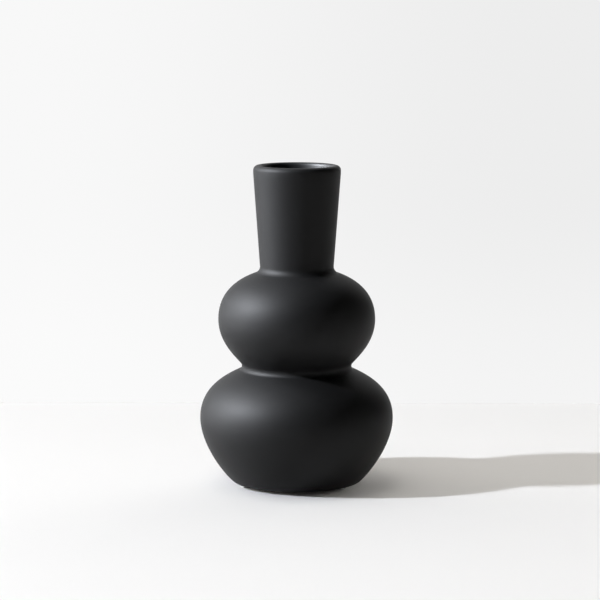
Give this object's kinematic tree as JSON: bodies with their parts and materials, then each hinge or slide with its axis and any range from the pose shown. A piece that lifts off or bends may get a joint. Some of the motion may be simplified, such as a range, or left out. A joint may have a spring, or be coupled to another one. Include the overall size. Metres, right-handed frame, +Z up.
{
  "type": "vase",
  "caption": "Ceramic flower vase of two stacked flattened bulbs under a straight, slightly flared neck with a rounded lip.",
  "frame": {"origin": "on the table, under the middle of the vase: the centre of the bottom of its box", "axes": "+Z up along the vase's axis of symmetry; the picture looks along +Y, with +X to its right"},
  "size_m": [0.145, 0.145, 0.24],
  "materials": {
    "matte_black_glaze": "matte",
    "gloss_black_glaze": "gloss",
    "bare_clay": "unglazed, sanded",
    "clear_bumper": "clear, glossy"
  },
  "bodies": {
    "root": {"bumper_pads": "clear_bumper", "foot_ring": "bare_clay", "lower_bulb": "matte_black_glaze", "waist_coil": "matte_black_glaze", "upper_bulb": "matte_black_glaze", "neck_coil": "matte_black_glaze", "neck": "matte_black_glaze", "inner_glaze": "gloss_black_glaze"}
  },
  "joints": []
}
